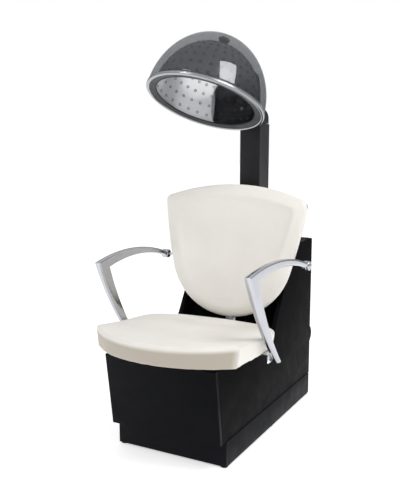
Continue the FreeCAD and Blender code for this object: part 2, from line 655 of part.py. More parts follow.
def back_frame():
    """Frame at the back's lowest point, midway through it at the sides: X across, Y up the back, Z to the front."""
    lean = Rotation(Vector(1, 0, 0), 90 - BACK_LEAN)
    return Placement(Vector(0, 110.5, BACK_FOOT), lean)


def bent_slab(name, front, rear):
    """The part of a big upright tube between two offsets from the bent middle surface, in the back's frame."""
    reach, bow = 300.0, size("back_bow")
    radius = (reach ** 2 + bow ** 2) / (2 * bow)
    centre = radius - bow
    outer = cylinder(name + "_outer", radius - rear, 700, (0, -40, centre), (0, 1, 0))
    inner = cylinder(name + "_inner", radius - front, 720, (0, -50, centre), (0, 1, 0))
    return cut(name, outer, inner)


def build_back():
    where = back_frame()
    half = (size("back_pad") + size("back_board")) / 2
    blank = extruded("back_pad_blank", "XY_Plane", back_outline(0), 160, middle=True)
    slab = bent_slab("pad_slab", half, half - size("back_pad"))
    keep("back_cushion", place(common("back_cushion", blank, slab), where))
    blank = extruded("back_board_blank", "XY_Plane", back_outline(8), 160, middle=True)
    slab = bent_slab("board_slab", half - size("back_pad") - 0.3, -half)
    keep("back_board_panel", place(common("back_board_panel", blank, slab), where))


def upright_y(z):
    """y of the back board's rear face at mid width, where the upright bar lies on it."""
    return 110.5 + 30.8 + size("back_bow") + (z - BACK_FOOT) * math.tan(math.radians(BACK_LEAN))


def build_back_bracket():
    """An angle on the seat deck turns up behind the seat, and an upright bar on the back board is bolted to it."""
    steel, gap = 5.0, -0.1
    foot, low, head, high = size("box_top"), 398, 418, 610
    angle = polygon([(102, foot), (upright_y(foot) + gap, foot), (upright_y(head) + gap, head),
                     (upright_y(head) - steel + gap, head), (upright_y(foot + steel) - steel + gap, foot + steel),
                     (102, foot + steel)])
    keep("back_bracket", extruded("back_bracket", "YZ_Plane", angle, 46, middle=True))
    bar = polygon([(upright_y(low) + gap, low), (upright_y(low) + gap + steel, low), (upright_y(high) + gap + steel, high),
                   (upright_y(high) + gap, high)])
    keep("back_upright", extruded("back_upright", "YZ_Plane", bar, 46, middle=True))
    bolts = []
    for x in (-9, 9):
        spot = Vector(x, upright_y(411) - steel + gap - 2.2, 411)
        bolts.append(cylinder("bracket_bolt", 4, 3, tuple(spot), (0, 1, 0)))
        spot = Vector(x, 118, foot + steel - 0.1)
        bolts.append(cylinder("foot_bolt", 5, 3, tuple(spot), (0, 0, 1)))
    for z in (500, 580):
        spot = Vector(0, upright_y(z) + gap + steel - 1.2, z)
        bolts.append(cylinder("upright_bolt", 6, 4, tuple(spot), (0, 1, 0)))
    keep("back_bolts", group("back_bolts", bolts))


def arm_outline():
    """Side view of an arm: a leg that curves down and back from the front tip, and a rest that arches to the rear."""
    return outline((-357, 699), ("by", (-117, 722)), (178, 668), (172, 649), ("by", (-100, 690)), (-268, 676),
                   ("by", (-281, 669.5)), (-281, 655), ("by", (-212, 526)), (-80, 339), (-103, 334),
                   ("by", (-255, 515)))


def on_outer_side(edge):
    """True for the long edges along the top of the rest and the front of the leg."""
    middle = edge.CenterOfMass
    return edge.Length > 60 and (middle.z > 700 or middle.y < -230)


ARM_SPLAY = 2.0
KNUCKLE = (326, 176, 658)
BRACKET_Y = -128


def build_arms():
    knuckles, pins, brackets = [], [], []
    for name, sign in (("left", 1), ("right", -1)):
        splay = Rotation(Vector(0, 0, 1), -sign * ARM_SPLAY)
        blank = extruded("arm_blank_" + name, "YZ_Plane", arm_outline(), "arm_thick", middle=True)
        blank.Placement = Placement(Vector(sign * size("arm_x"), -100, 0), splay).multiply(
            Placement(Vector(0, 100, 0), Rotation()))
        smooth = rounded("arm_round_" + name, blank, on_outer_side, 7)
        seat = cylinder("knuckle_seat", "knuckle_radius", 80, (sign * KNUCKLE[0] - 40, KNUCKLE[1], KNUCKLE[2]), (1, 0, 0))
        keep("arm_" + name, cut("arm_" + name, smooth, seat))
        ball = cylinder("knuckle_" + name, "knuckle_radius", 34, (sign * KNUCKLE[0] - 17, KNUCKLE[1], KNUCKLE[2]), (1, 0, 0))
        knuckles.append(rounded("knuckle_round_" + name, ball, lambda e: e.Length > 60, 6))
        pins.append(cylinder("back_pin_" + name, 5, 62, (sign * 248, KNUCKLE[1], KNUCKLE[2]), (sign, 0, 0)))
        side_x = size("cabinet_width") / 2
        tab_x = size("arm_x") - size("arm_thick") / 2 - 1.1
        plate = polygon([(sign * side_x, 342), (sign * (side_x + 5), 342), (sign * (side_x + 5), 371),
                         (sign * (tab_x - 6), 371), (sign * (tab_x - 6), 342), (sign * tab_x, 342), (sign * tab_x, 377),
                         (sign * side_x, 377)])
        bracket = extruded("arm_bracket_" + name, "XZ_Plane", plate, 40, middle=True)
        bracket.Placement = Placement(Vector(0, BRACKET_Y, 0), Rotation())
        brackets.append(bracket)
    keep("arm_knuckles", group("arm_knuckles", knuckles))
    keep("back_pins", group("back_pins", pins))
    keep("arm_brackets", group("arm_brackets", brackets))
    bolts = []
    for sign in (-1, 1):
        for y in (BRACKET_Y - 7, BRACKET_Y + 9):
            bolts.append(cylinder("arm_bolt", 4.5, 3, (sign * (size("arm_x") - 23.1), y, 357), (sign, 0, 0)))
            bolts.append(cylinder("plate_bolt", 4.5, 3, (sign * (size("cabinet_width") / 2 + 4.9), y, 357), (sign, 0, 0)))
    keep("arm_bolts", group("arm_bolts", bolts))


# ---------------------------------------------------------------- mains lead
CORD_ROUTE = [
    (200, 553, 302), (200, 574, 302), (200, 595, 290), (200, 606, 267), (199, 603, 241), (196, 586, 218),
    (191, 569, 193), (184, 558, 158), (176, 553, 115), (168, 556, 75), (162, 570, 42), (156, 594, 18),
    (146, 625, 5.5), (130, 655, 4.1), (110, 684, 4.1), (98, 712, 4.1),
]
TAIL_ROUTE = [(6, 716, 4.1), (2, 698, 4.1), (-6, 682, 4.3), (-17, 668, 5.5), (-30, 656, 8)]
COIL_CENTRE = (50, 728)
COIL_MIDDLE = 44
COIL_ACROSS = 13
COIL_HIGH = 24.5
LEAD_LENGTH = 2200


def tube_path(points):
    """Straight runs joined by tangent arcs, each as large as its two runs allow."""
    spots = [Vector(*p) for p in points]
    edges, radii = [], []
    pen = spots[0]
    for before, corner, after in zip(spots, spots[1:], spots[2:]):
        arrive, leave = (corner - before), (after - corner)
        turn = arrive.getAngle(leave)
        short = min(arrive.Length, leave.Length)
        radius = 0.45 * short / math.tan(turn / 2)
        trim = 0.45 * short
        a = corner - arrive.normalize() * trim
        b = corner + leave.normalize() * trim
        bisector = ((a + b) * 0.5 - corner).normalize()
        reach = radius / math.cos(turn / 2)
        middle = corner + bisector * (reach - radius)
        edges.append(Part.LineSegment(pen, a).toShape())
        edges.append(Part.Arc(a, middle, b).toShape())
        radii.append(radius)
        pen = b
    edges.append(Part.LineSegment(pen, spots[-1]).toShape())
    return Part.Wire(edges), radii


def build_tube(name, points):
    """A round cord along the route; prints its radii and compares its volume with section times length."""
    path, radii = tube_path(points)
    radius = size("cord_radius")
    ring = Part.Wire(Part.Circle(Vector(*points[0]), Vector(*points[1]) - Vector(*points[0]), radius).toShape())
    solid = path.makePipeShell([ring], True, False)
    obj = doc.addObject("Part::Feature", name)
    obj.Shape = solid
    expected = math.pi * radius ** 2 * path.Length
    print(name, "length %.0f" % path.Length, "radii", [round(r) for r in radii],
          "volume ratio %.4f" % (solid.Volume / expected), flush=True)
    keep(name, obj)
    return path.Length


def build_lead():
    start = GLAND[1]
    relief = outline((0, start - 22), (9, start - 22), (9, start), (12, start), (12, start + 4), (9, start + 4),
                     (5.5, start + 35), (0, start + 35))
    cone = turned("strain_relief", relief)
    cone.Placement = Placement(Vector(GLAND[0], 0, GLAND[2]), Rotation(Vector(0, 0, 1), Vector(0, 1, 0)))
    keep("strain_relief", cone)
    used = build_tube("power_cord", CORD_ROUTE) + build_tube("cord_tail", TAIL_ROUTE)
    coil = turned("cord_coil", outline(
        (COIL_MIDDLE - COIL_ACROSS, 5), ("by", (COIL_MIDDLE - COIL_ACROSS + 1.2, 1.4)), (COIL_MIDDLE - COIL_ACROSS + 5, 0.1),
        (COIL_MIDDLE + COIL_ACROSS - 5, 0.1), ("by", (COIL_MIDDLE + COIL_ACROSS - 1.2, 1.4)), (COIL_MIDDLE + COIL_ACROSS, 5),
        (COIL_MIDDLE + COIL_ACROSS, COIL_HIGH - 5), ("by", (COIL_MIDDLE + COIL_ACROSS - 1.2, COIL_HIGH - 1.2)),
        (COIL_MIDDLE + COIL_ACROSS - 5, COIL_HIGH), (COIL_MIDDLE - COIL_ACROSS + 5, COIL_HIGH),
        ("by", (COIL_MIDDLE - COIL_ACROSS + 1.2, COIL_HIGH - 1.2)), (COIL_MIDDLE - COIL_ACROSS, COIL_HIGH - 5)))
    coil.Placement = Placement(Vector(*COIL_CENTRE, 0), Rotation())
    keep("cord_coil", coil)
    turns = (LEAD_LENGTH - used) / (2 * math.pi * COIL_MIDDLE)
    print("lead outside the coil %.0f, turns in the coil %.2f" % (used, turns), flush=True)
    end, before = Vector(*TAIL_ROUTE[-1]), Vector(*TAIL_ROUTE[-2])
    flat = Vector(end.x - before.x, end.y - before.y, 0)
    aim = Placement(end, Rotation(Vector(1, 0, 0), flat))
    shell = outline((0, -5.5), (14, -6.5), (20, -12), (50, -13), (50, 13), (20, 12), (14, 6.5), (0, 5.5))
    grip = extruded("plug_grip", "XY_Plane", shell, 16, middle=True)
    pins = [box("blade", 20, 1.5, 6.3, (48, y - 0.75, -5)) for y in (-6.35, 6.35)]
    pins.append(cylinder("earth_pin", 2.4, 23, (48, 0, 4.5), (1, 0, 0)))
    keep("plug", place(fuse("plug", grip, *pins), aim))


build_plinth()
build_cabinet()
build_rear_panel()
build_column()
build_neck()
build_hood_shells()
build_air_path()
build_blower()
build_heater()
build_controls()
build_hinge_block()
build_seat()
build_back()
build_back_bracket()
build_arms()
build_lead()
doc.recompute()

# ---------------------------------------------------------------- checks and export
faults = [obj.Label for obj in doc.Objects if "Invalid" in obj.State or "Error" in obj.State]
for name, obj in nodes.items():
    if obj.Shape.isNull() or not obj.Shape.isValid() or not obj.Shape.Solids:
        faults.append(name)
if faults:
    raise SystemExit("failed objects: " + ", ".join(sorted(set(faults))))
os.makedirs("parts", exist_ok=True)
for name, obj in nodes.items():
    obj.Shape.exportStep("parts/%s.step" % name)
print(len(nodes), "sub-parts written", flush=True)
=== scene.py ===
"""Looks of the salon dryer chair: studio, materials, soft goods, hood shells and the mains lead.

Outlines, profiles and named sizes are in millimetres.
Shaders, frames, the camera and the lights are in metres.
"""
import json
import math

import bmesh
import bpy
from mathutils import Matrix, Vector, noise


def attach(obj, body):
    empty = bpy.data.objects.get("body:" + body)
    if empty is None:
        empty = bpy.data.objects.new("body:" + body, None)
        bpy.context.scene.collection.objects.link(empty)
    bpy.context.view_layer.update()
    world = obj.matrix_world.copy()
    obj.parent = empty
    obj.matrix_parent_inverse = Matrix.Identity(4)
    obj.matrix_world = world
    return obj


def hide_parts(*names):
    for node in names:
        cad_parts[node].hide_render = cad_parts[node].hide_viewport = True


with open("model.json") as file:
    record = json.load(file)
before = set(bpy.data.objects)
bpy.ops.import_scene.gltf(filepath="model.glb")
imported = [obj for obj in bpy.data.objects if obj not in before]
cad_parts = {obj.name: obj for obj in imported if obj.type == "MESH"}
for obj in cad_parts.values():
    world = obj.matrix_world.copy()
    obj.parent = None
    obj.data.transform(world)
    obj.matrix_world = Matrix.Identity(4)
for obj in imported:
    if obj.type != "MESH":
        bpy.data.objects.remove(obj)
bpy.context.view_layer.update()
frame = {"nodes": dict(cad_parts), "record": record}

MM = 0.001

# the hood's frame (metres): its place, turned aside on the column and tilted on the neck
HOOD_SPOT = (-0.0756, 0.0687, 1.2987)
HOOD_SWIVEL = math.radians(-13.4)
HOOD_TILT = math.radians(-24.8)
HOOD = (Matrix.Translation(HOOD_SPOT) @ Matrix.Rotation(HOOD_SWIVEL, 4, "Z")
        @ Matrix.Rotation(HOOD_TILT, 4, "X"))


# ---------------------------------------------------------------- camera
def make_camera():
    """A camera at its spot, turned aside from +y and dipped."""
    lens, turn, dip = 49.6, math.radians(28.43), math.radians(8.88)
    spot = (1.2384, -2.3965, 1.1422)
    data = bpy.data.cameras.new("camera")
    data.sensor_fit = "AUTO"
    data.sensor_width = 36
    data.lens = lens
    data.clip_start = 0.05
    data.clip_end = 100
    cam = bpy.data.objects.new("camera", data)
    bpy.context.scene.collection.objects.link(cam)
    ahead = Vector((-math.sin(turn) * math.cos(dip), math.cos(turn) * math.cos(dip), -math.sin(dip)))
    side = Vector((math.cos(turn), math.sin(turn), 0))
    axes = Matrix((side, side.cross(ahead), -ahead)).transposed().to_4x4()
    cam.matrix_world = Matrix.Translation(spot) @ axes
    bpy.context.scene.camera = cam


make_camera()


# ---------------------------------------------------------------- shader helpers
class Shader:
    """A material's node tree with short calls for the nodes used here."""

    def __init__(self, name):
        self.mat = bpy.data.materials.new(name)
        self.mat.use_nodes = True
        self.tree = self.mat.node_tree
        self.tree.nodes.clear()
        self.out = self.add("ShaderNodeOutputMaterial")
        self.where = self.add("ShaderNodeTexCoord").outputs["Object"]

    def add(self, kind, **sockets):
        node = self.tree.nodes.new(kind)
        for key, value in sockets.items():
            self.set(node, key, value)
        return node

    def set(self, node, key, value):
        socket = node.inputs[key.replace("_", " ")] if isinstance(key, str) else node.inputs[key]
        if isinstance(value, bpy.types.NodeSocket):
            self.tree.links.new(value, socket)
        else:
            socket.default_value = value

    def math(self, operation, a, b=0.0, clamp=False):
        node = self.add("ShaderNodeMath")
        node.operation = operation
        node.use_clamp = clamp
        self.set(node, 0, a)
        self.set(node, 1, b)
        return node.outputs[0]

    def noise(self, scale, detail=3.0, rough=0.5, stretch=(1, 1, 1), warp=0.0):
        spot = self.add("ShaderNodeMapping", Vector=self.where, Scale=stretch).outputs[0]
        node = self.add("ShaderNodeTexNoise", Vector=spot, Scale=scale, Detail=detail, Roughness=rough)
        node.inputs["Distortion"].default_value = warp
        return node.outputs["Fac"]

    def cells(self, scale, stretch):
        spot = self.add("ShaderNodeMapping", Vector=self.where, Scale=stretch).outputs[0]
        return self.add("ShaderNodeTexVoronoi", Vector=spot, Scale=scale).outputs["Distance"]

    def spread(self, value, low, high, start=0.3, stop=0.7):
        """Maps start..stop onto low..high and stays level outside."""
        node = self.add("ShaderNodeMapRange", Value=value)
        for key, number in (("From Min", start), ("From Max", stop), ("To Min", low), ("To Max", high)):
            node.inputs[key].default_value = number
        return node.outputs[0]

    def blend(self, factor, one, two):
        node = self.add("ShaderNodeMix")
        node.data_type = "RGBA"
        for socket, value in ((0, factor), (6, one), (7, two)):
            self.set(node, socket, value)
        return node.outputs[2]

    def layer(self, factor, under, over):
        """One surface over another, by a factor."""
        node = self.add("ShaderNodeMixShader", Fac=factor)
        self.tree.links.new(under.outputs[0], node.inputs[1])
        self.tree.links.new(over.outputs[0], node.inputs[2])
        return node

    def bump(self, height, strength, distance, after=None):
        node = self.add("ShaderNodeBump", Height=height, Strength=strength, Distance=distance)
        if after is not None:
            self.set(node, "Normal", after)
        return node.outputs[0]

    def principled(self, specular=0.5, **sockets):
        node = self.add("ShaderNodeBsdfPrincipled", **sockets)
        node.inputs["Specular IOR Level"].default_value = specular
        return node

    def finish(self, surface):
        self.tree.links.new(surface.outputs[0], self.out.inputs["Surface"])
        return self.mat


def rgb(*values):
    return (*values, 1.0)


# ---------------------------------------------------------------- materials
def laminate(name, low, high, rough=0.46, gloss=0.16):
    """Black board laminate: a fine pebble, faint cloudiness and rubbed patches."""
    s = Shader(name)
    cloud = s.noise(5, 5, 0.6)
    pebble = s.noise(900, 2, 0.6)
    tone = s.blend(s.spread(cloud, 0, 1), rgb(*low), rgb(*high))
    rubbed = s.spread(s.noise(14, 6, 0.65), rough - 0.07, rough + 0.1)
    p = s.principled(gloss, Base_Color=tone, Roughness=rubbed)
    s.set(p, "Normal", s.bump(pebble, 0.22, 0.0004))
    return s.finish(p)


def front_shade_mask(s):
    """Mask of painted shade: 1 on a seat's front face below its crease, 0 on the rest (heights and depths in
    metres).
    """
    split = s.add("ShaderNodeSeparateXYZ", Vector=s.where)
    below_crease = s.spread(split.outputs[2], 1, 0, 0.447, 0.461)
    in_front = s.spread(split.outputs[1], 1, 0, -0.4, -0.365)
    return s.math("MULTIPLY", below_crease, in_front)


def vinyl(name, light, shade, grain=430, rough=0.44, front=None):
    """Upholstery vinyl: leather grain, colour drift and shallow creases; front is the colour of a painted
    shade on a seat's front face.
    """
    s = Shader(name)
    drift = s.noise(7, 4, 0.55, warp=0.4)
    tone = s.blend(s.spread(drift, 0, 1, 0.35, 0.65), rgb(*light), rgb(*shade))
    if front:
        # painted shade: the seat's front face below its crease is blended towards the front colour
        tone = s.blend(front_shade_mask(s), tone, rgb(*front))
    pores = s.cells(grain, (1, 1, 1.2))
    fine = s.noise(grain * 2.2, 3, 0.6)
    soft = s.noise(26, 3, 0.5, stretch=(1, 1, 1.6), warp=0.6)
    worn = s.spread(s.noise(18, 4), rough - 0.05, rough + 0.09)
    p = s.principled(0.42, Base_Color=tone, Roughness=worn)
    p.inputs["Sheen Weight"].default_value = 0.06
    p.inputs["Sheen Roughness"].default_value = 0.4
    creased = s.bump(soft, 0.25, 0.0016)
    pored = s.bump(pores, 0.3, 0.0003, creased)
    s.set(p, "Normal", s.bump(fine, 0.2, 0.0002, pored))
    return s.finish(p)


def metal(name, tone, rough, stretch=(1, 1, 1), scale=160, spread=0.08, bump=0.06, cloud=0.1):
    """Bare or plated metal with polishing marks and slightly cloudy gloss."""
    s = Shader(name)
    marks = s.noise(scale, 5, 0.65, stretch)
    haze = s.noise(11, 4, 0.6)
    darker = [c * (1 - cloud) for c in tone]
    p = s.principled(Base_Color=s.blend(s.spread(haze, 0, 1), rgb(*tone), rgb(*darker)), Metallic=1.0)
    s.set(p, "Roughness", s.spread(marks, rough - spread, rough + spread))
    s.set(p, "Normal", s.bump(marks, bump, 0.0004))
    return s.finish(p)


def plastic(name, low, high, rough=0.4, gloss=0.35, grain=700, strength=0.15):
    """Moulded plastic or rubber with a fine grain."""
    s = Shader(name)
    tone = s.blend(s.spread(s.noise(16, 4), 0, 1), rgb(*low), rgb(*high))
    worn = s.spread(s.noise(35, 5), rough - 0.06, rough + 0.08)
    p = s.principled(gloss, Base_Color=tone, Roughness=worn)
    s.set(p, "Normal", s.bump(s.noise(grain, 2), strength, 0.0002))
    return s.finish(p)


def wood(name, low, high):
    """Plywood with stretched rings."""
    s = Shader(name)
    ring = s.noise(9, 6, 0.6, (0.4, 6, 12), 1.2)
    tone = s.blend(s.spread(ring, 0, 1), rgb(*low), rgb(*high))
    p = s.principled(Base_Color=tone, Roughness=s.spread(ring, 0.5, 0.68))
    s.set(p, "Normal", s.bump(ring, 0.2, 0.0005))
    return s.finish(p)


def round_window(s):
    """Near 0 where the liner lies in front of the black duct, 1 elsewhere (hood's frame, metres)."""
    half_width, half_height, middle, front = 0.122, 0.11, 0.075, 0.03
    roundness, blur, to_metres = 2.4, 0.004, 0.06
    in_hood = s.add("ShaderNodeMapping", Vector=s.where, Location=HOOD_SPOT,
                    Rotation=(HOOD_TILT, 0, HOOD_SWIVEL))
    in_hood.vector_type = "TEXTURE"
    split = s.add("ShaderNodeSeparateXYZ", Vector=in_hood.outputs[0])
    beside = s.math("DIVIDE", s.math("ABSOLUTE", split.outputs[0]), half_width)
    above = s.math("DIVIDE", s.math("ABSOLUTE", s.math("SUBTRACT", split.outputs[2], middle)), half_height)
    reach = s.math("ADD", s.math("POWER", beside, roundness), s.math("POWER", above, roundness))
    oval = s.math("MULTIPLY", s.math("SUBTRACT", reach, 1), to_metres)
    ahead = s.math("SUBTRACT", front, split.outputs[1])
    return s.spread(s.math("MAXIMUM", oval, ahead), 0.008, 1, -blur, blur)


def smoked(name, tint, haze_tone, haze, mirror, gloss_rough, edge_power=6.0, edge_haze=0.0, window=False):
    """Thin tinted acrylic: see-through wall, a little haze in it, and a glossy skin."""
    s = Shader(name)
    through = s.add("ShaderNodeBsdfTransparent", Color=rgb(*tint))
    cloud = s.noise(9, 4, 0.6)
    body = s.principled(0.1, Base_Color=rgb(*haze_tone), Roughness=s.spread(cloud, 0.4, 0.5))
    amount = s.spread(cloud, haze * 0.94, min(1.0, haze * 1.06))
    shown = 1.0
    if window:
        shown = round_window(s)
        amount = s.math("MULTIPLY", amount, shown)
    facing = s.add("ShaderNodeLayerWeight", Blend=0.5).outputs["Facing"]
    if edge_haze:
        # light runs a longer way through the wall near the outline
        at_edge = s.math("MULTIPLY", s.math("POWER", facing, 9.0), edge_haze)
        amount = s.math("ADD", amount, at_edge, clamp=True)
    wall = s.layer(amount, through, body)
    shine = s.add("ShaderNodeBsdfGlossy", Color=rgb(1, 1, 1), Roughness=gloss_rough)
    s.set(shine, "Normal", s.bump(s.noise(22, 3), 0.002, 0.002))
    # Schlick's form of curve, the same from either side of the thin wall
    climb = s.math("MULTIPLY", s.math("POWER", facing, edge_power), 1 - mirror)
    if window:
        # the window keeps a little of the reflection along the outline
        kept = 0.08
        climb = s.math("MULTIPLY", climb, s.math("ADD", s.math("MULTIPLY", shown, 1 - kept), kept))
    edge = s.math("ADD", s.math("MULTIPLY", shown, mirror), climb, clamp=True)
    return s.finish(s.layer(edge, wall, shine))


IVORY = {"light": (0.86, 0.83, 0.775), "shade": (0.835, 0.80, 0.74)}
RECIPES = {
    "laminate_black": (laminate, {"low": (0.0035, 0.0037, 0.0052), "high": (0.005, 0.0052, 0.007),
                                  "gloss": 0.05}),
    # painted shade: a copy of the board laminate with less gloss, for the side boards and the slope panel, so
    # they read darker than the front board
    "laminate_side_painted_shade": (laminate, {"low": (0.0045, 0.0045, 0.0052), "high": (0.006, 0.006, 0.007),
                                 "gloss": 0.012}),
    "plinth_black": (laminate, {"low": (0.007, 0.0072, 0.0095), "high": (0.0088, 0.009, 0.0115),
                                "rough": 0.5, "gloss": 0.06}),
    "column_black": (plastic, {"low": (0.013, 0.013, 0.0145), "high": (0.017, 0.017, 0.0185),
                               "rough": 0.38, "gloss": 0.3, "grain": 500, "strength": 0.12}),
    "steel_zinc": (metal, {"tone": (0.62, 0.62, 0.6), "rough": 0.34}),
    "chrome_bracket": (metal, {"tone": (0.9, 0.91, 0.93), "rough": 0.22, "stretch": (1, 8, 1),
                               "scale": 90, "spread": 0.05, "bump": 0.03}),
    "arm_metal": (metal, {"tone": (0.52, 0.53, 0.56), "rough": 0.19, "stretch": (1, 0.6, 0.6),
                          "scale": 120, "spread": 0.05, "bump": 0.04, "cloud": 0.06}),
    "rim_metal": (metal, {"tone": (0.40, 0.405, 0.42), "rough": 0.22, "stretch": (1, 1, 9),
                          "scale": 140, "spread": 0.06, "bump": 0.03, "cloud": 0.05}),
    "vinyl_ivory": (vinyl, IVORY),
    # the seat's vinyl, with painted shade on its front face
    "vinyl_seat": (vinyl, {**IVORY, "front": (0.46, 0.41, 0.34)}),
    "vinyl_black": (vinyl, {"light": (0.02, 0.02, 0.021), "shade": (0.028, 0.028, 0.029), "grain": 380}),
    "plywood": (wood, {"low": (0.52, 0.38, 0.22), "high": (0.68, 0.52, 0.33)}),
    "dome_smoke": (smoked, {"tint": (0.45, 0.455, 0.465), "haze_tone": (0.68, 0.69, 0.71), "haze": 0.006,
                            "mirror": 0.066, "gloss_rough": 0.03, "edge_power": 11.0, "edge_haze": 0.8}),
    "dome_inner": (smoked, {"tint": (0.97, 0.97, 0.975), "haze_tone": (0.30, 0.31, 0.32), "haze": 0.008,
                            "mirror": 0.0, "gloss_rough": 0.06}),
    "liner_clear": (smoked, {"tint": (0.48, 0.485, 0.5), "haze_tone": (0.2, 0.2, 0.21), "haze": 0.03,
                             "mirror": 0.02, "gloss_rough": 0.1}),
    "liner_inside": (smoked, {"tint": (0.85, 0.855, 0.87), "haze_tone": (0.72, 0.73, 0.75), "haze": 0.85,
                              "mirror": 0.36, "gloss_rough": 0.22, "window": True}),
    "plastic_black": (plastic, {"low": (0.010, 0.010, 0.011), "high": (0.015, 0.015, 0.016)}),
    # painted reflection: the hood lip is black plastic, made lighter grey to stand for the floor's reflection
    # on it
    "lip_painted_reflection": (plastic, {"low": (0.035, 0.036, 0.04), "high": (0.05, 0.051, 0.055),
                           "rough": 0.34, "gloss": 0.08}),
    "vent_black": (plastic, {"low": (0.004, 0.004, 0.0045), "high": (0.006, 0.006, 0.0065),
                             "rough": 0.6, "gloss": 0.0}),
    "trim_rubber": (plastic, {"low": (0.012, 0.012, 0.013), "high": (0.02, 0.02, 0.02),
                              "rough": 0.6, "gloss": 0.3, "grain": 900, "strength": 0.3}),
    "heater_wire": (metal, {"tone": (0.05, 0.045, 0.042), "rough": 0.5}),
    "fan_plastic": (plastic, {"low": (0.04, 0.04, 0.042), "high": (0.055, 0.055, 0.058), "rough": 0.45}),
    "brass_bush": (metal, {"tone": (0.72, 0.56, 0.27), "rough": 0.28}),
    "cord_pvc": (plastic, {"low": (0.012, 0.012, 0.0125), "high": (0.018, 0.018, 0.019),
                           "rough": 0.42, "gloss": 0.4, "grain": 800, "strength": 0.25}),
    "ring_dark": (plastic, {"low": (0.012, 0.012, 0.014), "high": (0.018, 0.018, 0.02),
                            "rough": 0.3, "gloss": 0.3}),
}
MATS = {name: make(name, **settings) for name, (make, settings) in RECIPES.items()}


def paint(obj, look):
    obj.data.materials.clear()
    obj.data.materials.append(MATS[look])


BODY_OF = {node: name for name, members in frame["record"]["behaviour"]["bodies"].items() for node in members}
SLOT_OF = {part["node"]: part["material_slot"] for part in frame["record"]["subparts"]}
# a node's look is its slot's, apart from these; the side boards and the slope panel take a copy of the board
# laminate with painted shade, and the hood lip a grey with painted reflection
LOOK_OF = {**SLOT_OF, "side_panel_left": "laminate_side_painted_shade", "side_panel_right": "laminate_side_painted_shade",
           "slope_panel": "laminate_side_painted_shade", "hood_lip": "lip_painted_reflection", "vent_cap": "vent_black"}
for node_name, node_object in frame["nodes"].items():
    paint(node_object, LOOK_OF[node_name])


# ---------------------------------------------------------------- piece helpers
def add_mesh(name, verts, faces, look, body_name, where=None, stands_for=()):
    """A smooth-shaded piece from vertices in metres, moved by where."""
    mesh = bpy.data.meshes.new(name)
    if where is not None:
        verts = [where @ Vector(v) for v in verts]
    mesh.from_pydata([tuple(v) for v in verts], [], faces)
    mesh.validate()
    shape = bmesh.new()
    shape.from_mesh(mesh)
    bmesh.ops.recalc_face_normals(shape, faces=shape.faces)
    shape.to_mesh(mesh)
    shape.free()
    for polygon in mesh.polygons:
        polygon.use_smooth = True
    obj = bpy.data.objects.new(name, mesh)
    bpy.context.scene.collection.objects.link(obj)
    paint(obj, look)
    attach(obj, body_name)
    if stands_for:
        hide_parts(*stands_for)
    return obj


def add_bevel(obj, width, segments, angle, harden):
    mod = obj.modifiers.new("bevel", "BEVEL")
    mod.width = width * MM
    mod.segments = segments
    mod.limit_method = "ANGLE"
    mod.angle_limit = math.radians(angle)
    mod.harden_normals = harden


def quads(rows, count, wrap=False):
    """Faces between rows of count points, each row closed on itself."""
    faces = []
    for i in range(rows if wrap else rows - 1):
        j = (i + 1) % rows
        for k in range(count):
            m = (k + 1) % count
            faces.append((i * count + k, i * count + m, j * count + m, j * count + k))
    return faces


def skin(rings, wrap=False):
    """Vertices and faces over equal rings of points, capped at both ends or joined end to end."""
    verts = [p for ring in rings for p in ring]
    count = len(rings[0])
    faces = quads(len(rings), count, wrap)
    if not wrap:
        faces.append(tuple(reversed(range(count))))
        faces.append(tuple(range((len(rings) - 1) * count, len(rings) * count)))
    return verts, faces


def lathe(name, profile, look, body_name, where, segments, stands_for, loop=False):
    """A turned piece: profile is (radius, height); a looped profile is closed on itself."""
    verts, faces, start_of = [], [], []
    on_axis = [radius < 1e-6 for radius, height in profile]
    for (radius, height), single in zip(profile, on_axis):
        start_of.append(len(verts))
        for k in range(1 if single else segments):
            a = 2 * math.pi * k / segments
            verts.append(Vector((radius * math.cos(a), radius * math.sin(a), height)) * MM)
    pairs = list(zip(range(len(profile)), range(1, len(profile))))
    if loop:
        pairs.append((len(profile) - 1, 0))
    for i, j in pairs:
        if on_axis[i] and on_axis[j]:
            continue
        for k in range(segments):
            m = (k + 1) % segments
            a, b = start_of[i], start_of[j]
            if on_axis[i]:
                faces.append((a, b + m, b + k))
            elif on_axis[j]:
                faces.append((a + k, a + m, b))
            else:
                faces.append((a + k, a + m, b + m, b + k))
    return add_mesh(name, verts, faces, look, body_name, where, stands_for)


def arc_points(a, b, c, count):
    """count + 1 points on the circle arc from a through b to c, in 2D."""
    (ax, ay), (bx, by), (cx, cy) = a, b, c
    d = 2 * (ax * (by - cy) + bx * (cy - ay) + cx * (ay - by))
    aa, bb, cc = ax * ax + ay * ay, bx * bx + by * by, cx * cx + cy * cy
    ox = (aa * (by - cy) + bb * (cy - ay) + cc * (ay - by)) / d
    oy = (aa * (cx - bx) + bb * (ax - cx) + cc * (bx - ax)) / d
    radius = math.hypot(ax - ox, ay - oy)
    first, middle, last = (math.atan2(y - oy, x - ox) for x, y in (a, b, c))
    while middle < first:
        middle += 2 * math.pi
    while last < first:
        last += 2 * math.pi
    if middle > last:
        last -= 2 * math.pi
    return [(ox + radius * math.cos(first + (last - first) * k / count),
             oy + radius * math.sin(first + (last - first) * k / count)) for k in range(count + 1)]


def even(points, count):
    """A closed outline as count evenly spaced points."""
    ring = points + [points[0]]
    spans = [math.dist(p, q) for p, q in zip(ring, ring[1:])]
    total = sum(spans)
    result, at, i = [], 0.0, 0
    for k in range(count):
        goal = total * k / count
        while at + spans[i] < goal:
            at += spans[i]
            i += 1
        t = (goal - at) / spans[i]
        (ax, ay), (bx, by) = ring[i], ring[i + 1]
        result.append((ax + (bx - ax) * t, ay + (by - ay) * t))
    return result


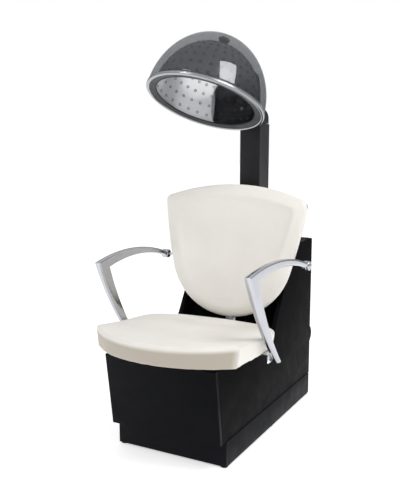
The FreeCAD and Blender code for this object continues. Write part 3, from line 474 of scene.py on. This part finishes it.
def outward(points):
    """Unit normals of a counter-clockwise outline, smoothed over a few neighbours."""
    count = len(points)
    normals = []
    for k in range(count):
        (ax, ay), (bx, by) = points[(k - 2) % count], points[(k + 2) % count]
        length = math.hypot(bx - ax, by - ay)
        normals.append(((by - ay) / length, -(bx - ax) / length))
    return normals


# ---------------------------------------------------------------- boards, tubes, mouldings and fasteners
def softened(node, width, segments=2):
    """The node's shape with its sharp edges rounded by a small bevel."""
    mesh = frame["nodes"][node].data.copy()
    shape = bmesh.new()
    shape.from_mesh(mesh)
    bmesh.ops.remove_doubles(shape, verts=shape.verts, dist=1e-6)
    bmesh.ops.dissolve_limit(shape, angle_limit=math.radians(0.6), verts=shape.verts, edges=shape.edges)
    for face in shape.faces:
        face.smooth = True
    shape.to_mesh(mesh)
    shape.free()
    obj = bpy.data.objects.new(node + "_body", mesh)
    bpy.context.scene.collection.objects.link(obj)
    paint(obj, LOOK_OF[node])
    add_bevel(obj, width, segments, 32, True)
    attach(obj, BODY_OF[node])
    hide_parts(node)
    return obj


def hang_edge(neck):
    """Hangs the outer edge of the neck's bottom face round the thrust washer, just clear of the cap."""
    floor, band, keep_clear, drop = 1223.6 * MM, 5.0 * MM, 28.0 * MM, 1.6 * MM
    shape = bmesh.new()
    shape.from_mesh(neck.data)
    low = [v for v in shape.verts if v.co.z < floor]
    axis_y = sum(v.co.y for v in low) / len(low)
    bottom = [face for face in shape.faces if all(v.co.z < floor for v in face.verts)]
    bmesh.ops.inset_region(shape, faces=bottom, thickness=band, use_even_offset=True)
    for vertex in low:
        if math.hypot(vertex.co.x, vertex.co.y - axis_y) > keep_clear:
            vertex.co.z -= drop
    shape.to_mesh(neck.data)
    shape.free()


for board in ("side_panel_left", "side_panel_right", "front_panel", "rear_panel", "slope_panel",
              "seat_deck", "top_panel", "column_collar", "plinth_front", "plinth_rear", "plinth_sides",
              "back_board_panel"):
    softened(board, 1.0)
for metalwork in ("column", "arm_brackets", "back_bracket", "back_upright"):
    softened(metalwork, 1.2, 3)
for fastener in ("arm_bolts", "back_bolts", "panel_screws", "tilt_pin", "glides"):
    softened(fastener, 0.7)
for moulding in ("blower_housing", "neck_housing", "hinge_block", "power_switch", "plug", "strain_relief"):
    piece = softened(moulding, 1.4, 3)
    if moulding == "neck_housing":
        hang_edge(piece)


# ---------------------------------------------------------------- mains lead
# the lead's way from the strain relief down to the coil, and from the coil to the plug
ROUTE = [
    (200, 553, 302), (200, 574, 302), (200, 595, 290), (200, 606, 267), (199, 603, 241), (196, 586, 218),
    (191, 569, 193), (184, 558, 158), (176, 553, 115), (168, 556, 75), (162, 570, 42), (156, 594, 18),
    (146, 625, 5.5), (130, 655, 4.1), (110, 684, 4.1),
]
TAIL = [(-5, 718, 18), (-7, 702, 12), (-11, 687, 7.5), (-18, 671, 6), (-30, 656, 8)]
COIL = (50, 728)
LEAD_RADIUS = 4


def coil_points():
    """Two layers of turns, in and back out, then nearly one turn on top."""
    wide, narrow, top_radius = 53.0, 36.0, 52.0
    floor_layer, second_layer, top_layer = 4.1, 12.3, 20.3
    below, above, top = 2.3, 2.3, 0.93
    per_turn, climb = 14, 0.15
    first = math.radians(-14)
    points = []
    for k in range(int((below + above + top) * per_turn) + 1):
        turns = k / per_turn
        if turns < below:
            radius, height = wide - (wide - narrow) * turns / below, floor_layer
        elif turns < below + above:
            radius, height = narrow + (wide - narrow) * (turns - below) / above, second_layer
        else:
            radius, height = top_radius, top_layer
        for start, low, high in ((below, floor_layer, second_layer),
                                 (below + above, second_layer, top_layer)):
            if abs(turns - start) < climb:
                height = low + (high - low) * (turns - start + climb) / (2 * climb)
        angle = first + 2 * math.pi * turns
        points.append((COIL[0] + radius * math.cos(angle), COIL[1] + radius * math.sin(angle), height))
    return points


def make_tie():
    """A band round the turns of the coil, squarish and flat where it meets the floor."""
    middle_x, middle_z = COIL[0] + 44, 12.4
    reach_x, reach_z, lowest = 13.2, 12.3, 0.4
    half_width, thick, corners = 6, 1.1, 20
    rings = []
    for k in range(corners):
        angle = 2 * math.pi * k / corners
        u, v = math.cos(angle), math.sin(angle)
        bulge = (u ** 4 + v ** 4) ** -0.25
        section = []
        for aside, proud in ((-half_width, 0), (-half_width, thick), (half_width, thick), (half_width, 0)):
            x = middle_x + u * bulge * (reach_x + proud)
            z = max(lowest, middle_z + v * bulge * (reach_z + proud))
            section.append(Vector((x, COIL[1] + aside, z)) * MM)
        rings.append(section)
    verts, faces = skin(rings, wrap=True)
    return add_mesh("lead_tie", verts, faces, "trim_rubber", "base")


def make_lead():
    points = ROUTE + coil_points() + TAIL
    data = bpy.data.curves.new("mains_lead", "CURVE")
    data.dimensions = "3D"
    data.bevel_depth = LEAD_RADIUS * MM
    data.bevel_resolution = 4
    data.resolution_u = 6
    spline = data.splines.new("NURBS")
    spline.points.add(len(points) - 1)
    for point, (x, y, z) in zip(spline.points, points):
        point.co = (x * MM, y * MM, z * MM, 1)
    spline.order_u = 3
    spline.use_endpoint_u = True
    lead = bpy.data.objects.new("mains_lead", data)
    bpy.context.scene.collection.objects.link(lead)
    data.materials.append(MATS["cord_pvc"])
    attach(lead, "base")
    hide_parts("power_cord", "cord_coil", "cord_tail")
    tie = make_tie()


make_lead()


# ---------------------------------------------------------------- soft goods
SEAT_HALF = 292.0
SEAT_FRONT = -387.0
# the back's frame (metres), leaning rearwards from behind the seat
LEAN = math.radians(9.5)
BACK = Matrix.Translation((0, 0.1105, 0.420)) @ Matrix.Rotation(math.pi / 2 - LEAN, 4, "X")


def ramp(value, start, stop):
    """0 at start, 1 at stop, straight between them and level outside."""
    return min(1.0, max(0.0, (value - start) / (stop - start)))


def joined_arcs(start, *arcs):
    """Arcs end to end, each given by a point on it, its end and its number of steps."""
    path = [start]
    for through, stop, count in arcs:
        path += arc_points(start, through, stop, count)[1:]
        start = stop
    return path


def drawn_in(points, normals, amount, middle):
    """Inset that follows the edge for the first few millimetres and then heads for the middle."""
    along = min(amount, 14)
    rest = amount - along
    result = []
    for (x, y), (nx, ny) in zip(points, normals):
        x, y = x - nx * along, y - ny * along
        way = math.hypot(middle[0] - x, middle[1] - y)
        result.append((x + (middle[0] - x) * rest / way, y + (middle[1] - y) * rest / way))
    return result


def upholster(name, outline, levels, crown, middle, warp, look, where, node):
    """A stuffed form: levels are (inset, height) rings from the rear face over the edge to the front.

    crown is how far the middle of the front stands above the last level.
    """
    count, steps = 260, 22
    points = even(outline, count)
    normals = outward(points)
    rings = []
    for amount, height in levels:
        rings.append([(x, y, height) for x, y in drawn_in(points, normals, amount, middle)])
    edge = rings[-1]
    edge_height = levels[-1][1]
    cx, cy = middle
    for k in range(1, steps):
        t = k / steps
        height = edge_height + crown * (1 - (1 - t) ** 2.2)
        rings.append([(x + (cx - x) * t, y + (cy - y) * t, height) for x, y, z in edge])
    verts = [warp(Vector(p)) * MM for ring in rings for p in ring]
    verts.append(warp(Vector((cx, cy, edge_height + crown))) * MM)
    last_ring, top = (len(rings) - 1) * count, len(verts) - 1
    faces = quads(len(rings), count)
    faces += [(last_ring + k, last_ring + (k + 1) % count, top) for k in range(count)]
    faces.append(tuple(reversed(range(count))))
    obj = add_mesh(name, verts, faces, look, "base", where, (node,))


def seat_outline():
    """The pad from above: a bowed front, straight sides and a rear that narrows to a round end."""
    half, side_start, side_end = SEAT_HALF, SEAT_FRONT + 14, -86.0
    left, right = (14 - half, SEAT_FRONT - 12), (half - 14, SEAT_FRONT - 12)
    hip, tail = (231, 17), (90, 84)
    steps, side_steps = 12, 16
    run = side_end - side_start
    turn = joined_arcs((half, side_end), ((half - 14, -32), hip, steps), ((168, 62), tail, steps),
                       ((0, 90), (-tail[0], tail[1]), steps))
    path = joined_arcs(left, ((0, -518), right, 60), ((half - 3, SEAT_FRONT - 1), (half, side_start), 6))
    path += [(half, side_start + run * k / side_steps) for k in range(1, side_steps)] + turn
    path += [(-x, y) for x, y in reversed(turn[:2 * steps])]
    path += [(-half, side_end - run * k / side_steps) for k in range(1, side_steps)]
    path += arc_points((-half, side_start), (3 - half, SEAT_FRONT - 1), left, 6)[:-1]
    return path


def seat_top(y):
    """Height of the raked seat's top along its length."""
    height, length, fall, lift, nose = 465, 407, 38.9, 6.9, 0.033
    if y < SEAT_FRONT:
        return height + (SEAT_FRONT - y) * nose
    t = min(1.0, (y - SEAT_FRONT) / length)
    return height - fall * t + lift * t * t


def seat_warp(p):
    """Rakes the pad, hollows it where one sits, and ripples its lower edge and its front corners."""
    foot, depth = 397, 69
    sag, rear_sag, nose_drop, corner_rise = 9.0, 14.0, 7.0, 7.0
    low = ramp(p.z, foot + 26, foot)
    high = ramp(p.z, 450, 468)
    corner = ramp(math.hypot(abs(p.x) - 285, p.y + 392), 150, 0)
    rear = ramp(p.y, -130, 20)
    sat_in = sag * math.exp(-((p.x / 170) ** 2) - ((p.y + 200) / 150) ** 2)
    rear_dip = rear_sag * rear * rear * (3 - 2 * rear) * math.exp(-((p.x / 185) ** 4))
    hollow = sat_in + rear_dip - corner_rise * corner
    under = 378.4 + max(0.0, -200 - p.y) * 0.0766 - nose_drop * ramp(p.y, -250, -400)
    p.z = under + (p.z - foot) / depth * (seat_top(p.y) - under) - hollow * high
    if high == 0.0:
        ripple = noise.noise(Vector((p.x / 17, p.y / 17, p.z / 30)))
        outwards = Vector((p.x / SEAT_HALF, (p.y + 265) / 250, 0)).normalized()
        p += outwards * ripple * (0.5 + 3.0 * low * (0.3 + corner))
    p.z += low * 1.6 * max(0.0, noise.noise(Vector((p.x / 30, p.y / 30, 3))))
    return p


def make_seat():
    levels = [(60, 400.5), (30, 400), (16, 398), (10, 399.5), (7, 404), (5.4, 412), (3.8, 424), (2.2, 436),
              (1.2, 444), (0.8, 452), (0.8, 459), (1.6, 461.6), (2.6, 462.4), (2.8, 463.8), (5, 465.6),
              (9, 466.4), (16, 466.6), (30, 466.5), (48, 466.4)]
    upholster("seat_pad", seat_outline(), levels, 0.5, (0, -215), seat_warp, "vinyl_seat", None,
              "seat_cushion")


def back_outline():
    """The back from in front, from the middle of its foot; its shoulder at -x is a little squarer."""
    half, shoulder, crown = 319.0, 474.0, 558.0
    foot, waist = (0, 7), (262, 199)
    belly_radius, belly_angle = 272, math.radians(40)
    belly = (belly_radius * math.sin(belly_angle), belly_radius * (1 - math.cos(belly_angle)) + 4)
    path = joined_arcs(foot, (belly, waist, 30),
                       ((293, 325), (half - 0.5, shoulder - 12), 24),
                       ((half - 6, shoulder + 14), (half - 27, shoulder + 31), 9),
                       ((0, crown), (17 - half, shoulder + 30), 50),
                       ((2 - half, shoulder + 18), (-half, shoulder), 7),
                       ((-294, 330), (-waist[0], waist[1]), 24),
                       ((-belly[0], belly[1]), foot, 30))
    return path[:-1]


def back_warp(p):
    """Bends the back round the sitter, fades its border at the foot, and ripples the cover a little."""
    face, bend = 29, 22.0
    if p.z > face:
        p.z = face + (p.z - face) * ramp(p.y, 110, 280)
    p.z -= bend * (1 - (p.x / 300.0) ** 2)
    p.z += 0.8 * noise.noise(Vector((p.x / 60, p.y / 60, 0)))
    return p


def make_back():
    levels = [(26, -11), (8, -12), (3, -10.8), (0.6, -7), (-0.8, 0), (-1.2, 6), (-0.8, 10.5), (0.8, 14.8),
              (4, 18), (10, 21.2), (19, 24.6), (29, 28.0), (39, 31.2), (47, 33.0), (53, 33.2), (60, 32.0),
              (68, 30.2), (78, 29.0)]
    upholster("back_pad", back_outline(), levels, -2.0, (0, 290), back_warp, "vinyl_ivory", BACK,
              "back_cushion")


make_seat()
make_back()


# ---------------------------------------------------------------- arms
def arm_rings(outer, inner):
    """Eight-sided sections between matching points of the outer and inner side outlines."""
    half, facet = 13.0, 7.5
    flat = half - facet
    rings = []
    for outer_point, inner_point in zip(outer, inner):
        high, low = Vector(outer_point), Vector(inner_point)
        across = high - low
        cut = across.normalized() * min(facet, across.length * 0.3)
        corners = ((-flat, high), (flat, high), (half, high - cut), (half, low + cut),
                   (flat, low), (-flat, low), (-half, low + cut), (-half, high - cut))
        rings.append([Vector((x, spot.x, spot.y)) * MM for x, spot in corners])
    return rings


def make_arm(name, sign):
    """A cast arm: the rest along the top and the leg down to the bracket, from the elbow in front."""
    count, sides = 26, 8
    elbow_outer, elbow_inner = (-357, 699), (-279, 671)
    rest_outer = arc_points(elbow_outer, (-117, 722), (180, 666), count)
    rest_inner = arc_points(elbow_inner, (-100, 690), (174, 646), count)
    leg_outer = arc_points(elbow_outer, (-255, 515), (-103, 334), count)
    leg_inner = arc_points(elbow_inner, (-212, 526), (-80, 339), count)
    verts, faces = skin(arm_rings(rest_outer, rest_inner))
    leg_verts, leg_faces = skin(arm_rings(leg_outer, leg_inner))
    # the two limbs share their first section, so they are welded there
    shift = len(verts) - sides
    verts += leg_verts[sides:]
    faces += [tuple(i if i < sides else i + shift for i in face) for face in leg_faces]
    shared = tuple(reversed(range(sides)))
    faces = [face for face in faces if face != shared]
    # each arm is turned by two degrees about an upright line 0.1 m ahead of the origin (metres)
    where = (Matrix.Translation((sign * 0.316, -0.1, 0)) @ Matrix.Rotation(-sign * math.radians(2), 4, "Z")
             @ Matrix.Translation((0, 0.1, 0)))
    obj = add_mesh(name, verts, faces, "arm_metal", "base", where, (name.replace("_bar", ""),))
    add_bevel(obj, 2.2, 2, 25, False)
    mod = obj.modifiers.new("subdivision", "SUBSURF")
    mod.levels = 1
    mod.render_levels = 1


def make_knuckles():
    """The turned knob at the rear end of each arm."""
    profile = [(0, -17.5), (9, -17.5), (14, -16.8), (17, -14.5), (18.6, -11), (19, -6), (19, 2), (18.4, 3.4),
               (18.4, 5), (19, 6.4), (19, 10), (18.2, 13.2), (15.5, 15.8), (12, 16.6), (11, 15.8), (10, 15.8),
               (9.4, 17.4), (5, 18.3), (0, 18.5)]
    for name, sign in (("knuckle_left", 1), ("knuckle_right", -1)):
        where = Matrix.Translation((sign * 0.326, 0.176, 0.658)) @ Matrix.Rotation(sign * math.pi / 2, 4, "Y")
        lathe(name, profile, "arm_metal", "base", where, 48, ("arm_knuckles",))


make_arm("arm_left_bar", 1)
make_arm("arm_right_bar", -1)
make_knuckles()


# ---------------------------------------------------------------- hood
def ellipse_profile(radius, height, foot, head, count=60):
    """(radius, height) points from the plane foot up to the radius head near the crown."""
    low, top = math.asin(foot / height), math.acos(head / radius)
    angles = [low + (top - low) * k / count for k in range(count + 1)]
    return [(max(0.0, radius * math.cos(a)), height * math.sin(a)) for a in angles]


def make_shell(name, node, outer_look, inner_look, radius, height, foot, head=0.0):
    """A thin shell of the hood; the skin towards the head has a look of its own."""
    wall, inside = 3, 0.986
    outer = ellipse_profile(radius, height, foot, head)
    inner = ellipse_profile(radius - wall, height - wall, foot, head)
    shell = lathe(name, outer + inner[::-1], outer_look, "hood", HOOD, 200, (node,), loop=True)
    shell.data.materials.append(MATS[inner_look])
    to_hood = HOOD.inverted()
    for polygon in shell.data.polygons:
        x, y, z = (to_hood @ polygon.center) / MM
        if (x * x + y * y) / radius ** 2 + (z / height) ** 2 < inside:
            polygon.material_index = 1


def make_rim():
    profile = [(230, -4), (231, -6), (233, -7), (237.5, -7), (240.5, -6.2), (242.4, -4.4), (243, -2),
               (243, 1.2), (242.3, 2.0), (242.3, 2.9), (243, 3.6), (242.2, 5.2), (240.6, 6.4), (238.5, 7),
               (231, 7), (230, 6)]
    lathe("rim_ring", profile, "rim_metal", "hood", HOOD, 240, ("hood_rim",), loop=True)


def hole_lip(thick):
    """Vertices (mm) and faces of the raised lip of one air hole, its axis along x."""
    hole, rise, segments, tube = 4.6, 0.7, 14, 6
    verts = []
    for i in range(segments):
        b = 2 * math.pi * i / segments
        for j in range(tube):
            c = 2 * math.pi * j / tube
            r = hole + thick * math.cos(c)
            verts.append(Vector((rise * math.sin(c), r * math.cos(b), r * math.sin(b))))
    return verts, quads(segments, tube, wrap=True)


def make_perforations():
    """Round air holes with raised lips on the liner, in rows that line up along its meridians."""
    rows = ((7.3, 32), (16.9, 32), (26.9, 32), (36.8, 32), (46.7, 32), (56.8, 32), (67.0, 16), (77.0, 16))
    verts, faces = [], []
    # each hole has a lip on the skin towards the head and one on the skin towards the dome
    for wide, tall, thick in ((212.4, 240.4, 1.15), (216.4, 244.4, 1.5)):
        lip_verts, lip_faces = hole_lip(thick)
        for degrees, number in rows:
            angle = math.radians(degrees)
            radius, height = wide * math.cos(angle), tall * math.sin(angle)
            lean = math.atan2(math.sin(angle) / tall, math.cos(angle) / wide)
            for k in range(number):
                a = 2 * math.pi * (k + 0.5) / number
                spin = Matrix.Rotation(a, 3, "Z") @ Matrix.Rotation(-lean, 3, "Y")
                centre = Vector((radius * math.cos(a), radius * math.sin(a), height))
                base = len(verts)
                verts += [(centre + spin @ v) * MM for v in lip_verts]
                faces += [tuple(base + i for i in face) for face in lip_faces]
    add_mesh("liner_holes", verts, faces, "ring_dark", "hood", HOOD)


make_shell("dome_shell", "hood_dome", "dome_smoke", "dome_inner", 240, 281, 7, head=20)
make_shell("liner_shell", "hood_liner", "liner_clear", "liner_inside", 216, 244, 1.6)
make_rim()
make_perforations()


# ---------------------------------------------------------------- studio (metres)
def area_light(name, size, power, spot, axes):
    """A rectangular light that shines along its own -z."""
    data = bpy.data.lights.new(name, "AREA")
    data.shape = "RECTANGLE"
    data.size, data.size_y = size
    data.energy = power
    lamp = bpy.data.objects.new(name, data)
    bpy.context.scene.collection.objects.link(lamp)
    lamp.matrix_world = Matrix.Translation(spot) @ axes.to_4x4()


def make_lights():
    spot, across, up = (1.7, -0.28, 2.98), Vector((0.57, 0.9, -0.43)), Vector((-0.54, 0.78, 0.74))
    x = across.normalized()
    z = x.cross(up).normalized()
    area_light("softbox", (1.15, 1.2), 31, spot, Matrix((x, z.cross(x), z)).transposed())
    spot, aim = Vector((-0.9, -2.5, 3.5)), Vector((0, -0.1, 0.6))
    area_light("key", (0.9, 0.9), 20, spot, (aim - spot).to_track_quat("-Z", "Y").to_matrix())


def make_world():
    """A white backdrop for the camera; what lights the object is dim at eye level and bright overhead."""
    world = bpy.data.worlds.new("studio")
    bpy.context.scene.world = world
    world.use_nodes = True
    tree = world.node_tree
    tree.nodes.clear()
    out = tree.nodes.new("ShaderNodeOutputWorld")
    seen = tree.nodes.new("ShaderNodeBackground")
    seen.inputs[0].default_value = rgb(1, 1, 1)
    seen.inputs[1].default_value = 1.0
    lit = tree.nodes.new("ShaderNodeBackground")
    lit.inputs[0].default_value = rgb(0.97, 0.98, 1.0)
    way = tree.nodes.new("ShaderNodeTexCoord")
    split = tree.nodes.new("ShaderNodeSeparateXYZ")
    climb = tree.nodes.new("ShaderNodeMapRange")
    for key, number in (("From Min", 0.0), ("From Max", 0.75), ("To Min", 0.2), ("To Max", 0.85)):
        climb.inputs[key].default_value = number
    path = tree.nodes.new("ShaderNodeLightPath")
    mix = tree.nodes.new("ShaderNodeMixShader")
    for source, target in ((way.outputs["Generated"], split.inputs[0]), (split.outputs[2], climb.inputs[0]),
                           (climb.outputs[0], lit.inputs[1]), (path.outputs["Is Camera Ray"], mix.inputs[0]),
                           (lit.outputs[0], mix.inputs[1]), (seen.outputs[0], mix.inputs[2]),
                           (mix.outputs[0], out.inputs[0])):
        tree.links.new(source, target)


def make_floor():
    half = 30
    shader = Shader("floor")
    tone = shader.blend(shader.noise(2, 4), rgb(0.93, 0.93, 0.93), rgb(0.96, 0.96, 0.96))
    surface = shader.principled(0.0, Base_Color=tone, Roughness=0.8, Emission_Color=rgb(1, 1, 1),
                                Emission_Strength=0.46)
    MATS["floor"] = shader.finish(surface)
    mesh = bpy.data.meshes.new("floor")
    corners = [(-half, -half, 0), (half, -half, 0), (half, half, 0), (-half, half, 0)]
    mesh.from_pydata(corners, [], [(0, 1, 2, 3)])
    floor = bpy.data.objects.new("floor", mesh)
    bpy.context.scene.collection.objects.link(floor)
    paint(floor, "floor")


bpy.context.scene.view_settings.view_transform = "Standard"
make_world()
make_floor()
make_lights()
